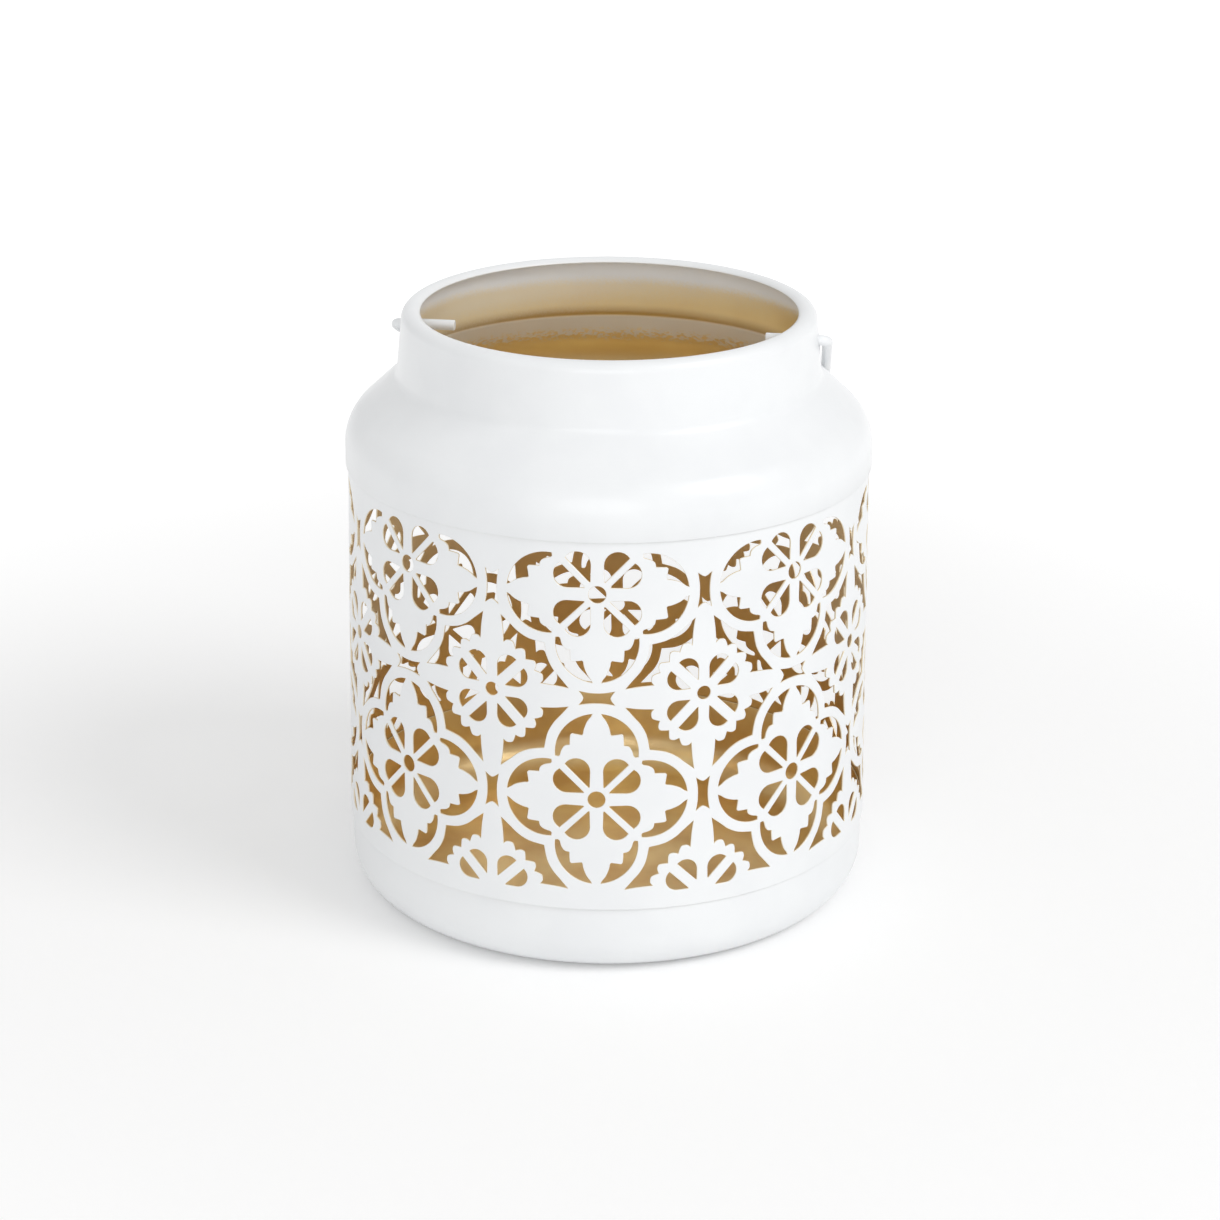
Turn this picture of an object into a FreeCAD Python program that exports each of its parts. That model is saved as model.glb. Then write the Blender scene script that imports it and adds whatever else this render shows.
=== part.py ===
# A lantern of thin painted sheet: a pressed base pan, a punched band, a pressed shoulder with a
# rolled rim, and a wire bail that swings in two holes of the neck.
# Millimetres. The base stands on z = 0 round the Z axis, and the bail turns about a line along X.
import FreeCAD, Part
import math
import os

V = FreeCAD.Vector
UP = V(0, 0, 1)
ORIGIN = V(0, 0, 0)

# Shared sizes. Round walls are drawn in flat strips, so that the whole keeps few facets.
sheet = 0.5
overrun = 3.0
seam_lap = 4.0
seam_clearance = 0.05
round_strips = 48
strip_middle_deg = 180 / round_strips

# Base pan
base_wall_radius = 75.2
base_bend_radius = 11.2
base_height = 25.1
base_bend_steps = 4

# Shoulder, neck and rolled rim
skirt_radius = 74.8
skirt_low = 127.5
skirt_high = 133.0
shoulder_radius = 14.0
shoulder_slope_deg = 43.0
neck_low_radius = 59.9
neck_high_radius = 58.4
rim_centre_height = 168.5
rim_radius = 3.2
rim_sweep_deg = 135.0
shoulder_bend_steps = 3
rim_bend_steps = 4

# Band, and the square tiles of its punched pattern, which repeat round it
repeats = 8
strips_per_repeat = 4
tile = 58.9
pattern_turn_deg = 5.4
low_row_height = 54.0
field_low = 25.6
field_high = 126.0
rosette_hole_radius = 2.4
flower_hole_radius = 1.95
round_hole_sides = 5
half_share = 0.5

# Outlines of the punched holes, as shares of a tile. A rosette sits in the middle of a tile and a
# flower on its corner, and each outline is counted from the middle of its own rosette or flower.
petal_shares = ((0.030, 0.056), (0.036, 0.200), (0.147, 0.172))
flower_petal_shares = ((0.026, 0.063), (0.036, 0.178), (0.122, 0.159))
crescent_shares = ((0.020, 0.424), (0.125, 0.379), (0.190, 0.270), (0.186, 0.206), (0.092, 0.300))
spandrel_shares = (
    (0.130, 0.452), (0.262, 0.442), (0.330, 0.330), (0.442, 0.262),
    (0.452, 0.130), (0.366, 0.205), (0.244, 0.244), (0.205, 0.366))
bone_shares = ((0.030, 0.080), (-0.030, 0.080), (-0.030, -0.080), (0.030, -0.080))

# Wire bail
wire_radius = 1.5
wire_sides = 8
wire_clearance = 0.08
pivot_drop = 4.4
pivot_height = rim_centre_height - pivot_drop
stub_tip = 44.0
elbow_radius = 2.4
elbow_steps = 3
arch_steps = 24
leg_offset = 61.2
leg_length = 56.0
leg_taper_deg = 3.4
bail_droop_deg = 25.0


def bend(centre_x, centre_z, radius, start_deg, end_deg, steps):
    """Points along a bend in the XZ plane, its angle counted from X towards Z."""
    angles = [math.radians(start_deg + (end_deg - start_deg) * i / steps) for i in range(steps + 1)]
    return [V(centre_x + radius * math.cos(a), 0, centre_z + radius * math.sin(a)) for a in angles]


def flat(points):
    """A flat face on these corners, one of which may be given twice."""
    corners = [p for before, p in zip(points[-1:] + points, points) if p != before]
    return Part.Face(Part.makePolygon(corners + corners[:1]))


def skin(rows, ends):
    """The solid whose flat faces join each row of points to the next, closed by a face on each end."""
    faces = [flat(row) for row in ends]
    for here, there in zip(rows, rows[1:]):
        for i in range(len(here)):
            if here[i] != there[i] or here[i - 1] != there[i - 1]:
                faces.append(flat([here[i - 1], here[i], there[i], there[i - 1]]))
    surface = Part.Compound(faces)
    surface.sewShape()
    return Part.Solid(surface.Shells[0]).removeSplitter()


def turned(outline, middle_deg, sweep_deg, strips):
    """A closed outline in the XZ plane taken about the Z axis in flat strips."""
    first = middle_deg - sweep_deg / 2
    turns = [math.radians(first + sweep_deg * i / strips) for i in range(strips + 1)]
    rows = [[V(p.x * math.cos(t), p.x * math.sin(t), p.z) for p in outline] for t in turns]
    return skin(rows, [] if sweep_deg == 360 else [rows[0], rows[-1]])


def make_base():
    """A flat-bottomed pan whose wall goes up inside the band."""
    centre = base_wall_radius - base_bend_radius
    outside = bend(centre, base_bend_radius, base_bend_radius, -90, 0, base_bend_steps)
    inside = bend(centre, base_bend_radius, base_bend_radius - sheet, 0, -90, base_bend_steps)
    edge = [V(base_wall_radius, 0, base_height), V(base_wall_radius - sheet, 0, base_height)]
    outline = [ORIGIN] + outside + edge + inside + [UP * sheet]
    return turned(outline, strip_middle_deg, 360, round_strips)


def shoulder_side(inset):
    """The shoulder's outline from skirt to rim end, a given way in from its outer face."""
    points = [V(skirt_radius - inset, 0, skirt_low)]
    centre, radius = skirt_radius - shoulder_radius, shoulder_radius - inset
    points += bend(centre, skirt_high, radius, 0, 90 - shoulder_slope_deg, shoulder_bend_steps)
    corner = neck_low_radius - inset
    rise = (points[-1].x - corner) * math.tan(math.radians(shoulder_slope_deg))
    points.append(V(corner, 0, points[-1].z + rise))
    centre, radius = neck_high_radius - rim_radius, rim_radius - inset
    return points + bend(centre, rim_centre_height, radius, 0, rim_sweep_deg, rim_bend_steps)


def make_shoulder():
    """Skirt, rounded shoulder, neck and rim in one pressing, with a hole for each end of the bail."""
    outline = shoulder_side(0) + shoulder_side(sheet)[::-1]
    shell = turned(outline, strip_middle_deg, 360, round_strips)
    reach = neck_low_radius + overrun
    start = V(-reach, 0, pivot_height)
    return shell.cut(Part.makeCylinder(wire_radius + wire_clearance, 2 * reach, start, V(1, 0, 0)))


def band_outline():
    """The band's wall in the XZ plane, through a fold between two of its flat strips."""
    strip_half = math.pi / (repeats * strips_per_repeat)
    over_base = (base_wall_radius + seam_clearance) / math.cos(strip_half) + sheet
    in_skirt = (skirt_radius - sheet) * math.cos(math.pi / round_strips) - seam_clearance
    lean = (in_skirt - over_base) / (skirt_low - base_height)
    ends = []
    for height in (base_height - seam_lap, skirt_low + seam_lap):
        ends.append(V(over_base + lean * (height - base_height), 0, height))
    return ends + [end - V(sheet, 0, 0) for end in ends[::-1]]


def around(shares):
    """An outline and its mirror images in the upright, the level and the diagonals."""
    images = []
    for side in (1, -1):
        for rise in (1, -1):
            images.append([(side * x, rise * y) for x, y in shares])
            images.append([(side * y, rise * x) for x, y in shares])
    return images


def round_hole(radius):
    """A small round hole as a regular outline, in shares of a tile."""
    turns = [2 * math.pi * i / round_hole_sides for i in range(round_hole_sides)]
    return [(radius / tile * math.sin(t), radius / tile * math.cos(t)) for t in turns]


def in_field(points):
    """Whether an outline is whole in the height that is punched and at least partly in one repeat."""
    heights = [low_row_height + y * tile for _, y in points]
    sides = [x for x, _ in points]
    in_repeat = min(sides) < half_share and max(sides) > -half_share
    return in_repeat and min(heights) > field_low and max(heights) < field_high


def pattern_outlines():
    """The holes of one repeat, sideways and up from the middle of its low rosette, in tiles."""
    rosette = [round_hole(rosette_hole_radius)]
    rosette += around(petal_shares) + around(crescent_shares) + around(spandrel_shares)[::2]
    flower = [round_hole(flower_hole_radius)] + around(flower_petal_shares)
    level_bone = [(y, x) for x, y in bone_shares]
    groups = []
    for row in (0, 1):
        groups += [(0, row, rosette), (0, row - half_share, [level_bone])]
        for side in (-half_share, half_share):
            groups += [(side, row, [bone_shares]), (side, row - half_share, flower)]
    outlines = []
    for across, up, group in groups:
        outlines += [[(x + across, y + up) for x, y in shares] for shares in group]
    return [points for points in outlines if in_field(points)]


def punch(points):
    """A prism through the band's wall at one hole, square to the wall at the hole's middle."""
    middle = (min(x for x, _ in points) + max(x for x, _ in points)) / 2
    near = min(base_wall_radius, skirt_radius) - sheet - overrun
    depth = abs(base_wall_radius - skirt_radius) + sheet + 2 * overrun
    corners = [V(near, (x - middle) * tile, low_row_height + y * tile) for x, y in points]
    return flat(corners).extrude(V(depth, 0, 0)).rotate(ORIGIN, UP, middle * 360 / repeats)


def make_band():
    """The rolled sheet between base and shoulder, punched with its pattern one repeat at a time."""
    sweep = 360 / repeats
    sector = turned(band_outline(), 0, sweep, strips_per_repeat)
    punched = sector.cut([punch(points) for points in pattern_outlines()])
    copies = [punched.rotated(ORIGIN, UP, pattern_turn_deg - 90 + sweep * i) for i in range(repeats)]
    return copies[0].fuse(copies[1:]).removeSplitter()


def bail_path():
    """The middle line of the bail laid level: end, elbow, leg, arch, leg, elbow and end."""
    taper = math.radians(leg_taper_deg)
    elbow_start = V(leg_offset - elbow_radius, elbow_radius, 0)
    half = [V(stub_tip, 0, 0)]
    for i in range(elbow_steps + 1):
        turn = (math.pi / 2 + taper) * i / elbow_steps
        half.append(elbow_start + V(math.sin(turn), -math.cos(turn), 0) * elbow_radius)
    leg_end = half[-1] + V(-math.sin(taper), math.cos(taper), 0) * leg_length
    arch_radius = leg_end.x / math.cos(taper)
    arch_middle = leg_end.y - arch_radius * math.sin(taper)
    for i in range(arch_steps // 2 + 1):
        turn = taper + (math.pi / 2 - taper) * i * 2 / arch_steps
        half.append(V(0, arch_middle, 0) + V(math.cos(turn), math.sin(turn), 0) * arch_radius)
    return half + [V(-p.x, p.y, 0) for p in half[-2::-1]]


def make_bail():
    """A wire handle that lies back on the shoulder, its ends turned in through the neck."""
    path = bail_path()
    ways = [(b - a).normalize() for a, b in zip(path, path[1:])]
    turns = [2 * math.pi * (i + half_share) / wire_sides for i in range(wire_sides)]
    rows = []
    for here, came, goes in zip(path, ways[:1] + ways, ways + ways[-1:]):
        along = (came + goes).normalize()
        aside = UP.cross(along) / along.dot(came)
        rows.append([here + (aside * math.cos(t) + UP * math.sin(t)) * wire_radius for t in turns])
    wire = skin(rows, [rows[0], rows[-1]])
    wire.rotate(ORIGIN, V(1, 0, 0), -bail_droop_deg)
    wire.translate(UP * pivot_height)
    return wire


os.makedirs("parts", exist_ok=True)
pieces = {
    "base_pan": make_base(),
    "punched_band": make_band(),
    "shoulder": make_shoulder(),
    "bail": make_bail()}
for name, piece in pieces.items():
    solid = piece.Solids[0]
    print(name, "valid" if solid.isValid() else "not valid", round(solid.Volume), "mm3")
    solid.exportStep("parts/" + name + ".step")
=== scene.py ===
# Punched tin lantern: thin sheet, white enamel outside and gold lacquer inside, with a wire bail.
import math
import bmesh
import bpy
from mathutils import Matrix, Vector
from mathutils.geometry import tessellate_polygon


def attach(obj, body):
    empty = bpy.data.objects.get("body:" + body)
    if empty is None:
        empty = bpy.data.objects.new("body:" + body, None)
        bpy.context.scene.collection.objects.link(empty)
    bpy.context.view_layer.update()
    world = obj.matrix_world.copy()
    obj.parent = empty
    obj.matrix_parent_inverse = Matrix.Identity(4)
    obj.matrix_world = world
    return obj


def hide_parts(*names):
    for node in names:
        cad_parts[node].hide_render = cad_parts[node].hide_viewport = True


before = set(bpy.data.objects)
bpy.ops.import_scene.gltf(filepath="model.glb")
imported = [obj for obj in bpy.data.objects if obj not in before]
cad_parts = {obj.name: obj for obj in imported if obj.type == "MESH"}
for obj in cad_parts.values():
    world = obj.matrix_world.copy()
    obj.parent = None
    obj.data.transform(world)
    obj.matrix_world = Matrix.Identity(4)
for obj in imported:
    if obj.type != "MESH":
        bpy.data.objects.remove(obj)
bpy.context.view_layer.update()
mm = 0.001  # sizes are in millimetres, except where a note says otherwise

sheetSizes = {
    "thickness": 0.5,
    "turnSegments": 288,
    "edgeSteps": 4,  # of the rounding of a free edge
    "sharpDeg": 32,
    "onAxis": 1e-6,  # a smaller radius is a point on the axis
    "doubleGap": 0.0002,  # corners that are closer become one
    "shellSlot": "enamelled_sheet",
    "wireSlot": "enamelled_wire",
}


# shader maths

class Channel:
    # one socket of a node tree, with arithmetic that adds Math nodes
    def __init__(self, tree, socket):
        self.tree = tree
        self.socket = socket

    def combine(self, operation, *others):
        values = {0: self, **dict(enumerate(others, 1))}
        return self.tree.add("ShaderNodeMath", {"operation": operation}, values)

    def __add__(self, other):
        return self.combine("ADD", other)

    def __radd__(self, other):
        return self.combine("ADD", other)

    def __sub__(self, other):
        return self.combine("SUBTRACT", other)

    def __rsub__(self, other):
        return self.combine("MULTIPLY", -1.0).combine("ADD", other)

    def __mul__(self, other):
        return self.combine("MULTIPLY", other)

    def __rmul__(self, other):
        return self.combine("MULTIPLY", other)

    def __truediv__(self, other):
        return self.combine("DIVIDE", other)

    def between(self, low, high):
        # 0 below low, 1 above high, with a soft step between
        return self.tree.add(
            "ShaderNodeMapRange", {"interpolation_type": "SMOOTHSTEP"},
            {"Value": self, "From Min": low, "From Max": high})

    def spread(self, amount):
        # a noise, which runs evenly about 0.5, moved to run about 0 over this amount
        return (self - 0.5) * amount


class Tree:
    def __init__(self, owner):
        self.nodes = owner.nodes
        self.links = owner.links

    def add(self, kind, settings=None, inputs=None, output=0):
        node = self.nodes.new(kind)
        for name, value in (settings or {}).items():
            setattr(node, name, value)
        for name, value in (inputs or {}).items():
            if isinstance(value, Channel):
                self.links.new(value.socket, node.inputs[name])
            else:
                node.inputs[name].default_value = value
        return Channel(self, node.outputs[output]) if node.outputs else None

    def also(self, channel, output):
        # another output of the same node
        return Channel(self, channel.socket.node.outputs[output])

    def mix(self, amount, first, second):
        return self.add("ShaderNodeMix", {"data_type": "RGBA"}, {0: amount, 6: first, 7: second}, output=2)

    def noise(self, place, scale, detail, roughness=0.5):
        return self.add("ShaderNodeTexNoise", {}, {
            "Vector": place, "Scale": scale, "Detail": detail, "Roughness": roughness})


def newMaterial(name):
    material = bpy.data.materials.new(name)
    material.use_nodes = True
    material.node_tree.nodes.clear()
    return material, Tree(material.node_tree)


def seenRay(tree):
    # 1 for what the camera sees straight, in a gloss or through glass
    camera = tree.add("ShaderNodeLightPath", output="Is Camera Ray")
    glossy = tree.also(camera, "Is Glossy Ray")
    clear = tree.also(camera, "Is Transmission Ray")
    return camera.combine("MAXIMUM", glossy).combine("MAXIMUM", clear)


# finishes

finishes = {
    "white": (0.890, 0.905, 0.915, 1.0),
    "whiteShade": (0.860, 0.875, 0.888, 1.0),
    "whiteRoughness": 0.36,
    "coat": 0.25,
    "coatRoughness": 0.12,
    # painted shade on the gold inside the shoulder, at the crease and below the ring
    "paintedShadeBrown": (0.50, 0.36, 0.17, 1.0),
    # pale colour of the white overspray, and of the painted highlight on the neck
    "mistAndHighlight": (0.86, 0.85, 0.82, 1.0),
    "edgeCream": (0.90, 0.80, 0.58, 1.0),
    # noises: scale in waves to the metre, detail and roughness
    "cloud": (45.0, 3.0),
    "peel": (850.0, 2.0),
    "speck": (1500.0, 3.0, 0.7),
    "spatter": (700.0, 2.0),
    "wireCloud": (120.0, 3.0),
    "wirePeel": (1400.0, 2.0),
    # parts of those noises over which a colour goes from one to the other
    "whiteCloud": (0.35, 0.7),
    "goldCloud": (0.3, 0.75),
    "spatterDots": (0.4, 0.6),
    # heights of the orange peel, and how much the roughness wanders
    "peelDepth": 0.05,
    "peelStrength": 0.25,
    "wirePeelStrength": 0.3,
    "roughnessSpread": 0.08,
    "wireRoughnessSpread": 0.1,
    # shares of the sheet's thickness, from outside, where the lacquer starts and an edge is tinted
    "goldDepth": (0.55, 0.95),
    "tintDepth": (0.02, 0.2, 0.7, 0.95),
    "tintFrom": (22.0, 24.0),  # heights, so that the seam low on the body stays white
}


def enamelWhite(tree, cloud):
    return tree.mix(cloud.between(*finishes["whiteCloud"]), finishes["white"], finishes["whiteShade"])


def finishEnamel(tree, colour, roughness, coat, peel, peelStrength, metallic=0.0):
    normal = tree.add("ShaderNodeBump", {}, {
        "Strength": peelStrength, "Distance": finishes["peelDepth"] * mm, "Height": peel})
    surface = tree.add("ShaderNodeBsdfPrincipled", {}, {
        "Base Color": colour,
        "Metallic": metallic,
        "Roughness": roughness,
        "Coat Weight": coat,
        "Coat Roughness": finishes["coatRoughness"],
        "Normal": normal,
    })
    tree.add("ShaderNodeOutputMaterial", {}, {"Surface": surface})


def paintedTin(name, sizes):
    # white enamel outside and gold lacquer inside, after the mesh attribute "inside"
    f = finishes
    material, tree = newMaterial(name)
    place = tree.add("ShaderNodeTexCoord", output="Object")
    inside = tree.add("ShaderNodeAttribute", {"attribute_name": "inside"}, output="Fac")
    apart = tree.add("ShaderNodeSeparateXYZ", {}, {0: place}, output="Z")
    height = apart / mm
    cloud = tree.noise(place, *f["cloud"])
    gold = inside.between(*f["goldDepth"])
    metal = gold
    whitePaint = enamelWhite(tree, cloud)
    light, deep, goldRoughness = sizes["lacquer"]
    goldPaint = tree.mix(cloud.between(*f["goldCloud"]), light, deep)
    if "edgeTint" in sizes:
        # lacquer that shows through at the punched edges
        start, full, fade, end = f["tintDepth"]
        edge = inside.between(start, full) * (1.0 - inside.between(fade, end)) * sizes["edgeTint"]
        edge = edge * height.between(*f["tintFrom"])
        whitePaint = tree.mix(edge, whitePaint, f["edgeCream"])
    if "sprayed" in sizes:
        # white spray that went in at the mouth: full under the rim, a haze below, and a dusty ring; the haze
        # is partly painted highlight, paler gold on the neck and most on its left, and a brown on the bare
        # lacquer is painted shade
        s = sizes["sprayed"]
        speck = tree.noise(place, *f["speck"])
        spatter = tree.noise(place, *f["spatter"]).between(*f["spatterDots"])
        ragged = cloud.spread(s["cloudReach"]) + speck.spread(s["speckReach"])
        start, full, fade, end = s["ring"]
        ringTop = 1.0 - height.between(fade, end)
        # painted shade: brown at the crease just above the ring, and below the ring further in
        creaseAndLowShade = height.between(fade, end) * (1.0 - height.between(end, s["creaseShadeTo"])) * s["creaseShadeShare"]
        creaseAndLowShade = creaseAndLowShade + (1.0 - height.between(s["lowShadeFrom"], start)) * s["lowShadeShare"]
        goldPaint = tree.mix(creaseAndLowShade, goldPaint, f["paintedShadeBrown"])
        ring = (height + ragged + spatter.spread(s["spatterReach"])).between(start, full) * ringTop
        # painted highlight: the haze pales the neck's gold and leans to reach lower on the left
        hazeAndHighlightHeight = height - tree.also(apart, "X") / mm * s["paintedHighlightLean"] + ragged * s["hazeRagged"]
        mistAndHighlight = ring * s["ringShare"] + hazeAndHighlightHeight.between(*s["haze"]) * s["hazeAndHighlightShare"]
        goldPaint = tree.mix(mistAndHighlight, goldPaint, f["mistAndHighlight"])
        bare = 1.0 - (height + ragged).between(*s["white"])
        gold = gold * bare
        metal = metal * (1.0 - mistAndHighlight) * bare
    white = 1.0 - gold
    roughness = f["whiteRoughness"] + gold * (goldRoughness - f["whiteRoughness"])
    finishEnamel(
        tree, tree.mix(gold, whitePaint, goldPaint), roughness + cloud.spread(f["roughnessSpread"]),
        white * f["coat"], tree.noise(place, *f["peel"]) * white, f["peelStrength"], metal)
    return material


def enamelledWire():
    f = finishes
    material, tree = newMaterial("wireEnamel")
    place = tree.add("ShaderNodeTexCoord", output="Object")
    cloud = tree.noise(place, *f["wireCloud"])
    roughness = f["whiteRoughness"] + cloud.spread(f["wireRoughnessSpread"])
    peel = tree.noise(place, *f["wirePeel"])
    finishEnamel(tree, enamelWhite(tree, cloud), roughness, f["coat"], peel, f["wirePeelStrength"])
    return material


# outlines in the XZ plane

def arcPoints(centre, radius, startDeg, endDeg, steps):
    turns = [math.radians(startDeg + (endDeg - startDeg) * i / steps) for i in range(steps + 1)]
    return [(centre[0] + radius * math.cos(t), centre[1] + radius * math.sin(t)) for t in turns]


def filletPoints(before, corner, after, radius, steps):
    # an arc that rounds a corner of a line
    corner = Vector(corner)
    back, on = (Vector(before) - corner).normalized(), (Vector(after) - corner).normalized()
    half = back.angle(on) / 2
    start, end = corner + back * radius / math.tan(half), corner + on * radius / math.tan(half)
    centre = corner + (back + on).normalized() * radius / math.sin(half)
    points = []
    for i in range(steps + 1):
        ray = (start - centre).lerp(end - centre, i / steps).normalized() * radius
        points.append(tuple(centre + ray))
    return points


def sheetOutline(line, startIsFree=True):
    # the wall on the left of a line that runs along its outer face, as (radius, height, inside) corners
    thickness, steps = sheetSizes["thickness"], sheetSizes["edgeSteps"]
    last = len(line) - 1
    sides = []
    for i in range(len(line)):
        ahead = Vector(line[min(i + 1, last)]) - Vector(line[max(i - 1, 0)])
        sides.append(Vector((-ahead.y, ahead.x)).normalized())
    outer = [(p[0], p[1], 0.0) for p in line]
    inner = [(p[0] + s.x * thickness, p[1] + s.y * thickness, 1.0) for p, s in zip(line, sides)]

    def roundedEdge(index, way):
        # from the outer face to the inner one
        side = sides[index]
        along = Vector((side.y, -side.x)) * way
        middle = Vector(line[index]) + side * thickness / 2
        corners = []
        for k in range(1, steps):
            turn = math.pi * k / steps
            across, out = side * math.cos(turn) * thickness / 2, along * math.sin(turn) * thickness / 2
            corners.append((*(middle - across + out), k / steps))
        return corners

    startEdge = roundedEdge(0, -1)[::-1] if startIsFree else []
    return outer + roundedEdge(last, 1) + inner[::-1] + startEdge


# meshes and pieces

def roundSpot(radius, turn, height):
    return radius * mm * math.cos(turn), radius * mm * math.sin(turn), height * mm


def meshFrom(bm, name):
    mesh = bpy.data.meshes.new(name)
    bm.to_mesh(mesh)
    bm.free()
    return mesh


def turnedMesh(name, outline):
    # a closed outline taken round the Z axis; a corner on the axis becomes one vertex
    segments = sheetSizes["turnSegments"]
    bm = bmesh.new()
    layer = bm.verts.layers.float.new("inside")
    rings = []
    for radius, height, inside in outline:
        if radius < sheetSizes["onAxis"]:
            ring = [bm.verts.new((0, 0, height * mm))] * segments
        else:
            turns = [2 * math.pi * k / segments for k in range(segments)]
            ring = [bm.verts.new(roundSpot(radius, turn, height)) for turn in turns]
        for vert in ring:
            vert[layer] = inside
        rings.append(ring)
    for i, ring in enumerate(rings):
        last = rings[i - 1]
        for k in range(segments):
            corners = [last[k - 1], last[k], ring[k], ring[k - 1]]
            corners = [v for j, v in enumerate(corners) if v is not corners[j - 1]]
            if len(corners) > 2:
                bm.faces.new(corners)
    bmesh.ops.recalc_face_normals(bm, faces=bm.faces)
    return meshFrom(bm, name)


def newPiece(name, mesh, material=None):
    piece = bpy.data.objects.new(name, mesh)
    bpy.context.scene.collection.objects.link(piece)
    if material is not None:
        mesh.materials.append(material)
    return piece


def smoothShade(mesh, sharpDeg):
    mesh.shade_smooth()
    mesh.set_sharp_from_angle(angle=math.radians(sharpDeg))


def dropSlivers(mesh):
    # what a cut leaves double: corners that lie together, and pairs of faces on the same corners
    bm = bmesh.new()
    bm.from_mesh(mesh)
    bmesh.ops.remove_doubles(bm, verts=bm.verts, dist=sheetSizes["doubleGap"] * mm)
    pairs = {}
    for face in bm.faces:
        pairs.setdefault(frozenset(face.verts), []).append(face)
    double = [face for faces in pairs.values() if len(faces) > 1 for face in faces]
    bmesh.ops.delete(bm, geom=double, context="FACES")
    bm.to_mesh(mesh)
    bm.free()


def evaluatedMesh(piece):
    bpy.context.view_layer.update()
    ready = piece.evaluated_get(bpy.context.evaluated_depsgraph_get())
    return bpy.data.meshes.new_from_object(ready)


def applyCuts(piece):
    # the result of the modifiers as the piece's own plain mesh
    mesh = evaluatedMesh(piece)
    dropSlivers(mesh)
    old = piece.data
    piece.modifiers.clear()
    piece.data = mesh
    mesh.name = piece.name
    bpy.data.meshes.remove(old)


# Geometry Nodes

def newGroup(name, sizes):
    # a geometry tree with named inputs, each with its type of socket
    group = bpy.data.node_groups.new(name, "GeometryNodeTree")
    group.interface.new_socket("Geometry", in_out="INPUT", socket_type="NodeSocketGeometry")
    for label, kind in sizes.items():
        group.interface.new_socket(label, in_out="INPUT", socket_type=kind)
    group.interface.new_socket("Geometry", in_out="OUTPUT", socket_type="NodeSocketGeometry")
    return group, Tree(group)


def endGroup(tree, geometry, material):
    real = tree.add("GeometryNodeRealizeInstances", {}, {"Geometry": geometry})
    done = tree.add("GeometryNodeSetMaterial", {}, {"Geometry": real, "Material": material})
    tree.add("NodeGroupOutput", {}, {0: done})


def useGroup(piece, group, values):
    modifier = piece.modifiers.new(group.name, "NODES")
    modifier.node_group = group
    named = {s.name: s.identifier for s in group.interface.items_tree if s.in_out == "INPUT"}
    for label, value in values.items():
        modifier[named[label]] = value
    piece.update_tag()


# base pan

basePan = {
    "wallRadius": 75.2,
    "bendRadius": 11.2,
    "bendSteps": 14,
    "height": 25.1,
    "floorRing": 0.5,  # share of the flat floor where it has a ring of corners
    # the same gold lacquer as the band's and the shoulder's, made lighter than the band's here: painted light
    "lacquer": ((0.86, 0.71, 0.41, 1.0), (0.68, 0.48, 0.24, 1.0), 0.33),  # colour, shade, roughness
    "edgeTint": 1.0,
}


def makeBasePan():
    b = basePan
    reach = b["wallRadius"] - b["bendRadius"]
    line = [(0.0, 0.0), (reach * b["floorRing"], 0.0)]
    line += arcPoints((reach, b["bendRadius"]), b["bendRadius"], -90, 0, b["bendSteps"])
    line.append((b["wallRadius"], b["height"] - sheetSizes["thickness"] / 2))
    mesh = turnedMesh("base_pan_shell", sheetOutline(line, startIsFree=False))
    smoothShade(mesh, sheetSizes["sharpDeg"])
    piece = newPiece("base_pan_shell", mesh, paintedTin("panEnamel", b))
    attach(piece, "lantern")
    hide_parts("base_pan")


# shoulder, neck and rim

shoulderShell = {
    "skirtRadius": 74.8,
    "skirtLow": 127.5,
    "skirtHigh": 133.0,
    "bendRadius": 14.0,
    "bendSteps": 16,
    "slopeDeg": 43.0,
    "creaseRadius": 4.0,
    "creaseSteps": 6,
    "neckLowRadius": 59.9,
    "neckHighRadius": 58.4,
    "rimCentre": 168.5,
    "rimRadius": 3.13,
    "rimSweepDeg": 135.0,
    "rimSteps": 16,
    # the same gold lacquer as the band's, made much lighter for the neck: painted light
    "lacquer": ((0.96, 0.81, 0.46, 1.0), (0.91, 0.73, 0.38, 1.0), 0.36),
    "sprayed": {
        # heights where each trace of white spray starts and is full, and where the ring fades
        "white": (161.8, 165.6),
        # the haze is white overspray and partly painted highlight: paler gold on the neck, reaching lower on
        # the left
        "haze": (154.0, 164.0),
        "hazeAndHighlightShare": 0.5,
        "paintedHighlightLean": 0.08,  # how much higher the haze starts for each millimetre towards +X
        "hazeRagged": 2.0,
        "ring": (142.8, 146.4, 152.0, 153.0),
        "ringShare": 0.8,
        # painted shade, a brown on the bare lacquer: at the crease above the ring up to a height, and below
        # the ring further into the shoulder
        "creaseShadeTo": 156.5,
        "creaseShadeShare": 0.8,
        "lowShadeFrom": 138.8,
        "lowShadeShare": 0.35,
        # how far each noise moves the edge of a trace
        "cloudReach": 2.0,
        "speckReach": 3.0,
        "spatterReach": 4.0,
    },
}


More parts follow.
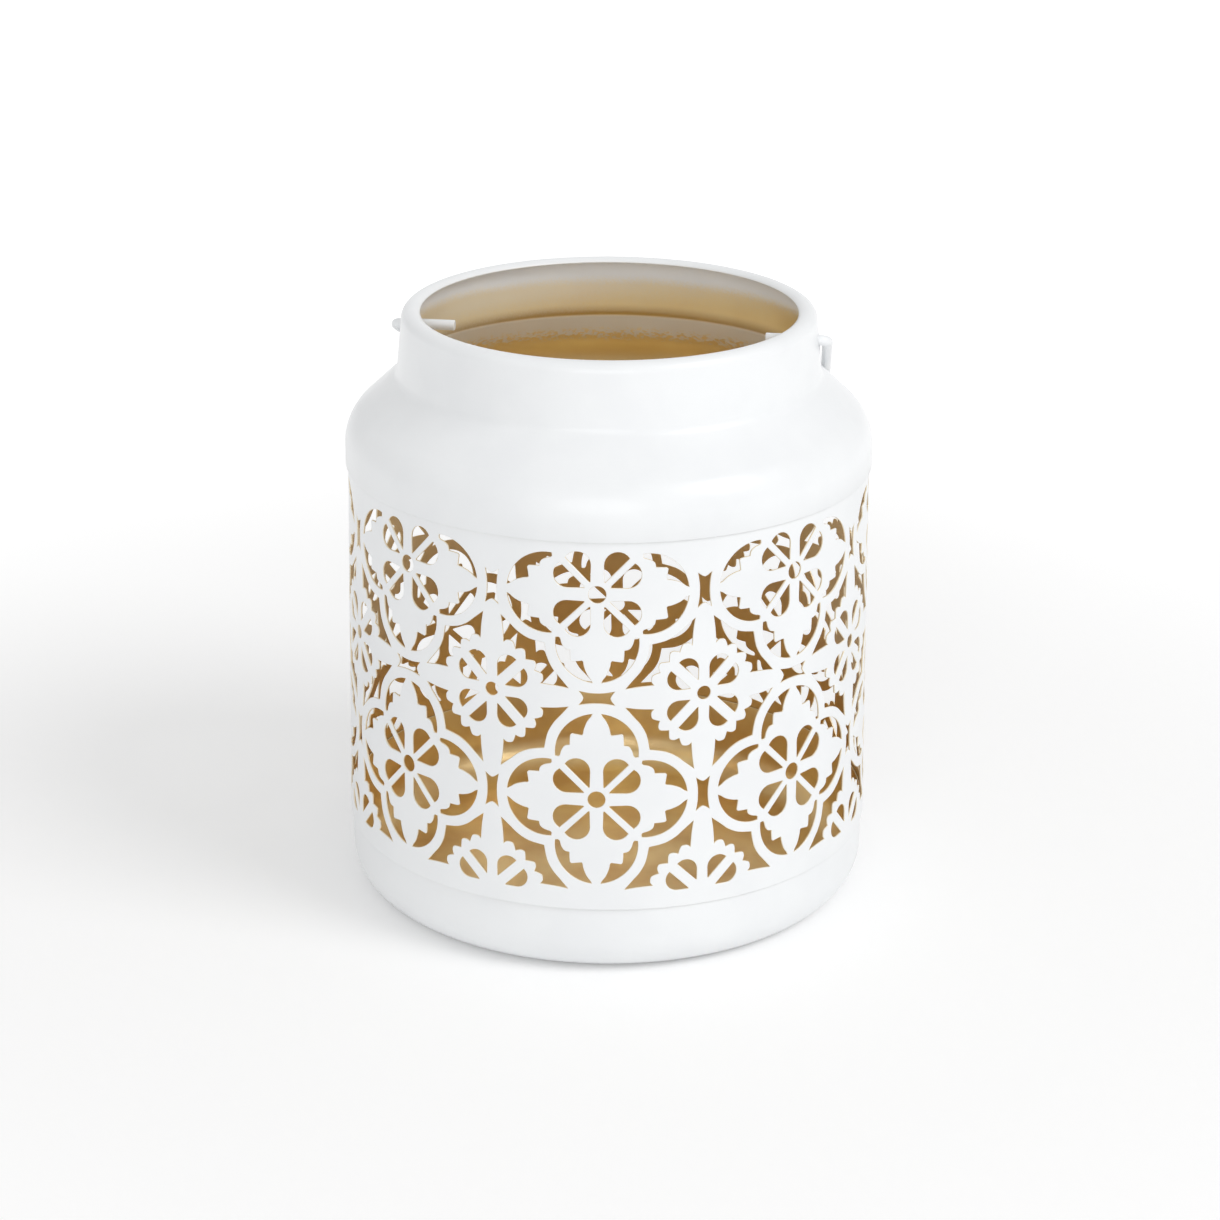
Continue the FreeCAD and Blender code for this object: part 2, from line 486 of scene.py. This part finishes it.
def shoulderLine():
    # the outer face from skirt to rim end
    s = shoulderShell
    bendMiddle = (s["skirtRadius"] - s["bendRadius"], s["skirtHigh"])
    rimMiddle = (s["neckHighRadius"] - s["rimRadius"], s["rimCentre"])
    line = [(s["skirtRadius"], s["skirtLow"] + sheetSizes["thickness"] / 2)]
    line += arcPoints(bendMiddle, s["bendRadius"], 0, 90 - s["slopeDeg"], s["bendSteps"])
    lowEnd = line[-1]
    rise = (lowEnd[0] - s["neckLowRadius"]) * math.tan(math.radians(s["slopeDeg"]))
    crease = (s["neckLowRadius"], lowEnd[1] + rise)
    rim = arcPoints(rimMiddle, s["rimRadius"], 0, s["rimSweepDeg"], s["rimSteps"])
    return line + filletPoints(lowEnd, crease, rim[0], s["creaseRadius"], s["creaseSteps"]) + rim


def drillMesh():
    # a rod along X for the two pivot holes, turned by half a side
    sides = wireBail["holeSides"]
    radius = (wireBail["wireRadius"] + wireBail["holeClearance"]) * mm
    turn = Matrix.Rotation(math.radians(90), 4, "Y") @ Matrix.Rotation(math.pi / sides, 4, "Z")
    bm = bmesh.new()
    bmesh.ops.create_cone(
        bm, cap_ends=True, segments=sides, radius1=radius, radius2=radius,
        depth=2 * (shoulderShell["neckLowRadius"] + shoulderShell["rimRadius"]) * mm,
        matrix=Matrix.Translation((0, 0, wireBail["pivotHeight"] * mm)) @ turn)
    return meshFrom(bm, "drill")


def makeShoulder():
    mesh = turnedMesh("shoulder_shell", sheetOutline(shoulderLine()))
    piece = newPiece("shoulder_shell", mesh, paintedTin("shoulderEnamel", shoulderShell))
    drill = newPiece("drill", drillMesh())
    cut = piece.modifiers.new("pivotHoles", "BOOLEAN")
    cut.object = drill
    cut.solver = "EXACT"
    applyCuts(piece)
    bpy.data.objects.remove(drill)
    smoothShade(piece.data, sheetSizes["sharpDeg"])
    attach(piece, "lantern")
    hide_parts("shoulder")


# wire bail

wireBail = {
    "wireRadius": 1.5,
    "wireSides": 24,
    "holeClearance": 0.08,
    "holeSides": 32,
    "pivotHeight": 164.1,
    "stubTip": 44.0,
    "stubRing": 0.5,  # share of the stub where it has a ring of corners
    "elbowRadius": 2.4,
    "elbowSteps": 12,
    "legOffset": 61.2,
    "legLength": 56.0,
    "legSteps": 6,
    "taperDeg": 3.4,
    "archSteps": 40,
    "droopDeg": 25.0,
    "endChamfer": 0.25,
    "sharpDeg": 40,
}


def bailPath():
    # the wire's middle line, laid level: end, elbow, leg and half the arch, then the same mirrored
    b = wireBail
    taper = math.radians(b["taperDeg"])
    elbowSide = b["legOffset"] - b["elbowRadius"]
    half = [Vector((b["stubTip"], 0, 0)), Vector((b["stubTip"] + b["endChamfer"], 0, 0))]
    half.append(half[0].lerp(Vector((elbowSide, 0, 0)), b["stubRing"]))
    elbowMiddle = Vector((elbowSide, b["elbowRadius"], 0))
    for i in range(b["elbowSteps"] + 1):
        turn = (math.pi / 2 + taper) * i / b["elbowSteps"]
        half.append(elbowMiddle + Vector((math.sin(turn), -math.cos(turn), 0)) * b["elbowRadius"])
    legStart = half[-1]
    legEnd = legStart + Vector((-math.sin(taper), math.cos(taper), 0)) * b["legLength"]
    half += [legStart.lerp(legEnd, i / b["legSteps"]) for i in range(1, b["legSteps"])]
    archRadius = legEnd.x / math.cos(taper)
    archMiddle = Vector((0, legEnd.y - archRadius * math.sin(taper), 0))
    for i in range(b["archSteps"] + 1):
        turn = taper + (math.pi / 2 - taper) * i / b["archSteps"]
        half.append(archMiddle + Vector((math.cos(turn), math.sin(turn), 0)) * archRadius)
    return half + [Vector((-p.x, p.y, 0)) for p in half[-2::-1]]


def wireGroup():
    # a round wire along a curve, after the radius of its points
    group, tree = newGroup("wireAlongPath", {
        "Wire Radius": "NodeSocketFloat",
        "Sides": "NodeSocketInt",
        "Material": "NodeSocketMaterial",
    })
    given = tree.add("NodeGroupInput", output="Geometry")
    ring = tree.add("GeometryNodeCurvePrimitiveCircle", {}, {
        "Resolution": tree.also(given, "Sides"), "Radius": tree.also(given, "Wire Radius")})
    radius = tree.add("GeometryNodeInputRadius")
    tube = tree.add("GeometryNodeCurveToMesh", {}, {
        "Curve": given, "Profile Curve": ring, "Scale": radius, "Fill Caps": True})
    endGroup(tree, tube, tree.also(given, "Material"))
    return group


def makeBail():
    b = wireBail
    points = bailPath()
    lay = Matrix.Translation((0, 0, b["pivotHeight"])) @ Matrix.Rotation(math.radians(-b["droopDeg"]), 4, "X")
    line = bpy.data.curves.new("bail_wire", "CURVE")
    line.dimensions = "3D"
    spline = line.splines.new("POLY")
    spline.points.add(len(points) - 1)
    for target, point in zip(spline.points, points):
        target.co = (*(lay @ point * mm), 1.0)
        target.radius = 1.0
    for end in (spline.points[0], spline.points[-1]):
        end.radius = 1 - b["endChamfer"] / b["wireRadius"]
    path = newPiece("bail_wire", line)
    useGroup(path, wireGroup(), {
        "Wire Radius": b["wireRadius"] * mm, "Sides": b["wireSides"], "Material": enamelledWire()})
    mesh = evaluatedMesh(path)
    bpy.data.objects.remove(path)
    mesh.name = "bail_wire"
    smoothShade(mesh, b["sharpDeg"])
    piece = newPiece("bail_wire", mesh)
    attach(piece, "bail")
    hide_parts("bail")


# the punched pattern: outlines of holes as shares of a tile, each from the middle of its rosette or flower

patternShapes = {
    # round holes: radius and sides
    "rosetteHole": (0.041, 24),
    "flowerHole": (0.033, 20),
    # petals: one root, the middle, radius and angles of the round end, and the other root
    "rosettePetal": ((0.032, 0.060), (0.093, 0.140), 0.063, 180, 30, (0.037, 0.059)),
    "flowerPetal": ((0.027, 0.068), (0.081, 0.122), 0.055, 180, 42, (0.031, 0.068)),
    "petalSteps": 10,
    # a crescent: the arc of its outer side, then its toothed inner side back to the start
    "crescentArc": ((0.0, 0.232), 0.193, 84, -6.5, 14),
    "crescentLobes": (
        ((0.178, 0.208), (0.170, 0.215), (0.163, 0.240), (0.148, 0.262), (0.125, 0.268)),
        ((0.125, 0.268), (0.124, 0.295), (0.122, 0.318))),
    "crescentTooth": ((0.122, 0.318), (0.115, 0.325), (0.090, 0.321), (0.068, 0.318)),
    "crescentTail": (((0.063, 0.325), (0.060, 0.345), (0.045, 0.385), (0.020, 0.418)),),
    # half of a spandrel: its toothed sides to the tip, and its side along the ring
    "spandrelSide": (
        ((0.130, 0.455), (0.190, 0.446), (0.262, 0.441)),
        ((0.262, 0.441), (0.250, 0.425), (0.252, 0.400), (0.265, 0.390), (0.290, 0.382)),
        ((0.290, 0.382), (0.283, 0.360), (0.285, 0.345), (0.295, 0.335), (0.333, 0.333))),
    "spandrelRing": (
        ((0.130, 0.455), (0.172, 0.4045), (0.2023, 0.368), (0.229, 0.3155), (0.2437, 0.2437)),),
    # half of a bone
    "bone": (
        ((0.034, 0.083), (0.0255, 0.030), (0.0255, -0.030), (0.034, -0.083)),
        ((0.034, -0.083), (0.0, -0.062), (-0.034, -0.083))),
    "curveSteps": 3,
}


def smoothLines(lines):
    # smooth lines one after another, each through its points and without the last of them
    steps = patternShapes["curveSteps"]
    out = []
    for points in lines:
        padded = [points[0], *points, points[-1]]
        for four in zip(padded, padded[1:], padded[2:], padded[3:]):
            for t in (k / steps for k in range(steps)):
                weights = (
                    -t + 2 * t * t - t ** 3,
                    2 - 5 * t * t + 3 * t ** 3,
                    t + 4 * t * t - 3 * t ** 3,
                    t ** 3 - t * t)
                out.append(tuple(sum(w * p[j] for w, p in zip(weights, four)) / 2 for j in (0, 1)))
    return out


def petalOutline(root, middle, radius, startDeg, endDeg, otherRoot):
    return [root, *arcPoints(middle, radius, startDeg, endDeg, patternShapes["petalSteps"]), otherRoot]


def roundHole(radius, sides):
    return arcPoints((0, 0), radius, 0, 360 - 360 / sides, sides - 1)


def swapped(points):
    # mirrored in the diagonal
    return [(y, x) for x, y in points]


def mirrored(points):
    # an outline and its images in the upright, the level and the diagonals
    images = []
    for side in (1, -1):
        for rise in (1, -1):
            images.append([(side * x, rise * y) for x, y in points])
            images.append([(side * y, rise * x) for x, y in points])
    return images


def rosetteOutlines():
    p = patternShapes
    crescent = arcPoints(*p["crescentArc"]) + smoothLines(p["crescentLobes"])
    crescent += [*p["crescentTooth"], *smoothLines(p["crescentTail"])]
    side, ring = smoothLines(p["spandrelSide"]), smoothLines(p["spandrelRing"])
    tip, foot = p["spandrelSide"][-1][-1], p["spandrelRing"][-1][-1]
    spandrel = side + [tip] + swapped(side[::-1]) + swapped(ring[1:]) + [foot] + ring[1:][::-1]
    petals = mirrored(petalOutline(*p["rosettePetal"]))
    return [roundHole(*p["rosetteHole"])] + petals + mirrored(crescent) + mirrored(spandrel)[::2]


# punched band

punchedBand = {
    "baseClearance": 0.05,
    "skirtClearance": 0.20,
    "lap": 4.0,
    "repeats": 8,
    "rows": 2,
    "tile": 58.9,
    "turnDeg": 5.4,
    "lowRow": 54.0,
    "fieldLow": 25.6,
    "fieldHigh": 126.0,
    "halfShare": 0.5,
    # the punches: reach outside and inside the wall, and the flare at the outer face as shares of the lip
    "punchOutside": 1.2,
    "punchInside": 0.8,
    "lip": 0.12,
    "lipOutside": 0.4,
    "lipFlare": 1.4,
    "closestCorners": 0.0015,  # share of a tile
    "leastTurn": 0.5,  # cosine that limits how far a sharp corner moves out
    "wallFacing": 0.97,  # faces that look this straight outwards or inwards belong to the wall
    # the same gold lacquer as the pan's and the shoulder's, made darker here: painted shade inside the band
    "lacquer": ((0.70, 0.53, 0.30, 1.0), (0.60, 0.43, 0.22, 1.0), 0.32),
    "edgeTint": 0.8,
}


def inField(points):
    # whether an outline is whole in the height that is punched, with its middle in the first repeat
    b = punchedBand
    heights = [b["lowRow"] + y * b["tile"] for _, y in points]
    sides = [x for x, _ in points]
    inRepeat = -b["halfShare"] <= (min(sides) + max(sides)) / 2 < b["halfShare"]
    return inRepeat and min(heights) > b["fieldLow"] and max(heights) < b["fieldHigh"]


def patternOutlines():
    # the holes of one repeat, sideways and up from the middle of its low rosette
    half = punchedBand["halfShare"]
    rosette = rosetteOutlines()
    flower = [roundHole(*patternShapes["flowerHole"])]
    flower += mirrored(petalOutline(*patternShapes["flowerPetal"]))
    bone = smoothLines(patternShapes["bone"])
    bone += [(-x, -y) for x, y in bone]
    groups = []
    for row in range(punchedBand["rows"]):
        groups += [(0, row, rosette), (0, row - half, [swapped(bone)])]
        for side in (-half, half):
            groups += [(side, row, [bone]), (side, row - half, flower)]
    outlines = []
    for across, up, group in groups:
        outlines += [[(x + across, y + up) for x, y in points] for points in group]
    return [points for points in outlines if inField(points)]


def widened(points, amount):
    # an anticlockwise outline moved outwards
    out = []
    for i, here in enumerate(points):
        before, after = Vector(points[i - 1]), Vector(points[(i + 1) % len(points)])
        here = Vector(here)
        first, second = (here - before).normalized(), (after - here).normalized()
        normals = [Vector((way.y, -way.x)) for way in (first, second)]
        middle = (normals[0] + normals[1]).normalized()
        out.append(tuple(here + middle * amount / max(middle.dot(normals[0]), punchedBand["leastTurn"])))
    return out


def bandRadius(height):
    # outer radius of the slightly tapered band
    over = basePan["wallRadius"] + punchedBand["baseClearance"] + sheetSizes["thickness"]
    under = shoulderShell["skirtRadius"] - sheetSizes["thickness"] - punchedBand["skirtClearance"]
    share = (height - basePan["height"]) / (shoulderShell["skirtLow"] - basePan["height"])
    return over + (under - over) * share


def cleanOutline(points):
    # without corners that nearly meet, and anticlockwise
    gap = punchedBand["closestCorners"]
    clean = [p for j, p in enumerate(points) if (Vector(p) - Vector(points[j - 1])).length > gap]
    area = sum(clean[j - 1][0] * p[1] - p[0] * clean[j - 1][1] for j, p in enumerate(clean))
    return clean[::-1] if area < 0 else clean


def punchMesh():
    # the punches of one repeat, curved to the band: each flares a little at the outer face
    b = punchedBand
    perShare = math.radians(360 / b["repeats"])
    flare = b["lip"] / b["tile"] * b["lipFlare"]
    # depth below the outer face, and how much wider the punch is there
    layers = [
        (-b["punchOutside"], flare), (-b["lip"] * b["lipOutside"], flare),
        (b["lip"], 0.0), (sheetSizes["thickness"] + b["punchInside"], 0.0)]
    bm = bmesh.new()
    for points in patternOutlines():
        clean = cleanOutline(points)
        rings = []
        for depth, wide in layers:
            ring = []
            for x, y in widened(clean, wide) if wide else clean:
                height = b["lowRow"] + y * b["tile"]
                ring.append(bm.verts.new(roundSpot(bandRadius(height) - depth, x * perShare, height)))
            rings.append(ring)
        for low, high in zip(rings, rings[1:]):
            for k in range(len(low)):
                bm.faces.new((low[k - 1], low[k], high[k], high[k - 1]))
        for i, j, k in tessellate_polygon([[Vector((x, y, 0)) for x, y in clean]]):
            bm.faces.new((rings[0][i], rings[0][j], rings[0][k]))
            bm.faces.new((rings[-1][k], rings[-1][j], rings[-1][i]))
    bmesh.ops.recalc_face_normals(bm, faces=bm.faces)
    return meshFrom(bm, "punches")


def punchGroup():
    # the punches of one repeat copied round the Z axis and cut out of the wall
    group, tree = newGroup("punchedRepeats", {
        "Punches": "NodeSocketObject",
        "Repeats": "NodeSocketInt",
        "First Turn": "NodeSocketFloat",
        "Material": "NodeSocketMaterial",
    })
    given = tree.add("NodeGroupInput", output="Geometry")
    repeats = tree.also(given, "Repeats")
    punches = tree.add("GeometryNodeObjectInfo", {}, {"Object": tree.also(given, "Punches")}, "Geometry")
    spots = tree.add("GeometryNodeMeshLine", {}, {"Count": repeats, "Offset": (0, 0, 0)})
    index = tree.add("GeometryNodeInputIndex")
    turn = index * math.tau / repeats + tree.also(given, "First Turn")
    upright = tree.add("ShaderNodeCombineXYZ", {}, {"Z": turn})
    rotation = tree.add("FunctionNodeEulerToRotation", {}, {0: upright})
    copies = tree.add("GeometryNodeInstanceOnPoints", {}, {
        "Points": spots, "Instance": punches, "Rotation": rotation})
    cut = tree.add("GeometryNodeMeshBoolean", {"operation": "DIFFERENCE", "solver": "MANIFOLD"}, {
        "Mesh 1": given, "Mesh 2": copies})
    endGroup(tree, cut, tree.also(given, "Material"))
    return group


def wallNormals(mesh):
    # true round normals on both faces of the wall, and "inside" from the depth below the outer face
    lean = math.atan(bandRadius(0) - bandRadius(1))  # of the wall, after what it loses in a millimetre
    inside = mesh.attributes.get("inside") or mesh.attributes.new("inside", "FLOAT", "POINT")
    for vert, value in zip(mesh.vertices, inside.data):
        depth = bandRadius(vert.co.z / mm) - math.hypot(vert.co.x, vert.co.y) / mm
        value.value = min(1.0, max(0.0, depth / sheetSizes["thickness"]))
    normals = []
    for face in mesh.polygons:
        outwards = Vector((face.center.x, face.center.y, 0)).normalized()
        facing = face.normal.dot(outwards)
        for corner in face.vertices:
            if abs(facing) < punchedBand["wallFacing"]:
                normals.append(face.normal.copy())
                continue
            spot = mesh.vertices[corner].co
            level = Vector((spot.x, spot.y, 0)).normalized()
            normal = level * math.cos(lean) + Vector((0, 0, math.sin(lean)))
            normals.append(normal if facing > 0 else -normal)
    mesh.shade_smooth()
    mesh.normals_split_custom_set(normals)


def makePunchedBand():
    b = punchedBand
    low, high = basePan["height"] - b["lap"], shoulderShell["skirtLow"] + b["lap"]
    edge = sheetSizes["thickness"] / 2
    line = [(bandRadius(low), low + edge), (bandRadius(high), high - edge)]
    wall = newPiece("punched_band_wall", turnedMesh("punched_band_wall", sheetOutline(line)))
    punches = newPiece("punches", punchMesh())
    useGroup(wall, punchGroup(), {
        "Punches": punches,
        "Repeats": b["repeats"],
        "First Turn": math.radians(b["turnDeg"] - 90),
        "Material": paintedTin("bandEnamel", b),
    })
    applyCuts(wall)
    bpy.data.objects.remove(punches)
    wallNormals(wall.data)
    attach(wall, "lantern")
    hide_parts("punched_band")
    print("band triangles", sum(len(f.vertices) - 2 for f in wall.data.polygons))


# stage: floor and lamps in metres, camera in millimetres

studio = {
    "floorSize": 12.0,
    "floorWhite": (0.97, 0.97, 0.97, 1.0),
    "lightWhite": (1.0, 1.0, 1.0, 1.0),
    "floorGlow": 0.11,
    "floorGlowFar": 0.4,
    "floorFade": (0.15, 0.7),
    "ambient": 0.62,
    "lamps": {
        # watts, width, distance, degrees right of the camera, degrees up
        "key": (71.0, 2.4, 5.0, 59.0, 42.0),
        "front": (44.0, 3.2, 5.0, -4.0, 19.0),
    },
    "cameraAzimuthDeg": 7.6,
    "cameraDistance": 833.0,
    "cameraHeight": 397.5,
    "panDeg": -0.04,
    "pitchDeg": 20.84,
    "rollDeg": 0.28,
    "lensMillimetres": 90.5,
    "nearest": 10.0,
}


def makeFloor():
    half = studio["floorSize"] / 2
    corners = [(x * half, y * half, 0) for x, y in ((-1, -1), (1, -1), (1, 1), (-1, 1))]
    mesh = bpy.data.meshes.new("floor")
    mesh.from_pydata(corners, [], [(0, 1, 2, 3)])
    material, tree = newMaterial("floorPaper")
    paper = tree.add("ShaderNodeBsdfDiffuse", {}, {"Color": studio["floorWhite"]})
    place = tree.add("ShaderNodeTexCoord", output="Object")
    reach = tree.add("ShaderNodeVectorMath", {"operation": "LENGTH"}, {0: place}, output="Value")
    more = studio["floorGlowFar"] - studio["floorGlow"]
    strength = seenRay(tree) * (reach.between(*studio["floorFade"]) * more + studio["floorGlow"])
    glow = tree.add("ShaderNodeEmission", {}, {"Color": studio["lightWhite"], "Strength": strength})
    surface = tree.add("ShaderNodeAddShader", {}, {0: paper, 1: glow})
    tree.add("ShaderNodeOutputMaterial", {}, {"Surface": surface})
    newPiece("floor", mesh, material)


def makeWorld():
    world = bpy.data.worlds.new("studio")
    bpy.context.scene.world = world
    world.use_nodes = True
    world.node_tree.nodes.clear()
    tree = Tree(world.node_tree)
    strength = seenRay(tree) * (1 - studio["ambient"]) + studio["ambient"]
    sky = tree.add("ShaderNodeBackground", {}, {"Color": studio["lightWhite"], "Strength": strength})
    tree.add("ShaderNodeOutputWorld", {}, {"Surface": sky})


def polar(azimuthDeg, distance, height):
    turn = math.radians(azimuthDeg)
    return Vector((math.sin(turn) * distance, -math.cos(turn) * distance, height))


def makeLamps():
    for name, (watts, width, reach, azimuthDeg, heightDeg) in studio["lamps"].items():
        data = bpy.data.lights.new(name, "AREA")
        data.shape = "DISK"
        data.size = width
        data.energy = watts
        lamp = bpy.data.objects.new(name, data)
        bpy.context.scene.collection.objects.link(lamp)
        rise = math.radians(heightDeg)
        azimuth = studio["cameraAzimuthDeg"] + azimuthDeg
        lamp.location = polar(azimuth, reach * math.cos(rise), reach * math.sin(rise))
        lamp.rotation_euler = (-lamp.location).to_track_quat("-Z", "Y").to_euler()


def makeCamera():
    data = bpy.data.cameras.new("camera")
    data.lens = studio["lensMillimetres"]
    data.clip_start = studio["nearest"] * mm
    camera = bpy.data.objects.new("camera", data)
    bpy.context.scene.collection.objects.link(camera)
    turn = studio["cameraAzimuthDeg"]
    camera.location = polar(turn, studio["cameraDistance"] * mm, studio["cameraHeight"] * mm)
    aim = Matrix.Rotation(math.radians(turn + studio["panDeg"]), 4, "Z")
    aim = aim @ Matrix.Rotation(math.radians(90 - studio["pitchDeg"]), 4, "X")
    aim = aim @ Matrix.Rotation(math.radians(studio["rollDeg"]), 4, "Z")
    camera.rotation_euler = aim.to_euler()
    bpy.context.scene.camera = camera


makeBasePan()
print("base pan made")
makePunchedBand()
print("punched band made")
makeShoulder()
print("shoulder made")
makeBail()
print("bail made")
makeFloor()
makeWorld()
makeLamps()
makeCamera()
bpy.context.scene.view_settings.view_transform = "Standard"
print("stage made")
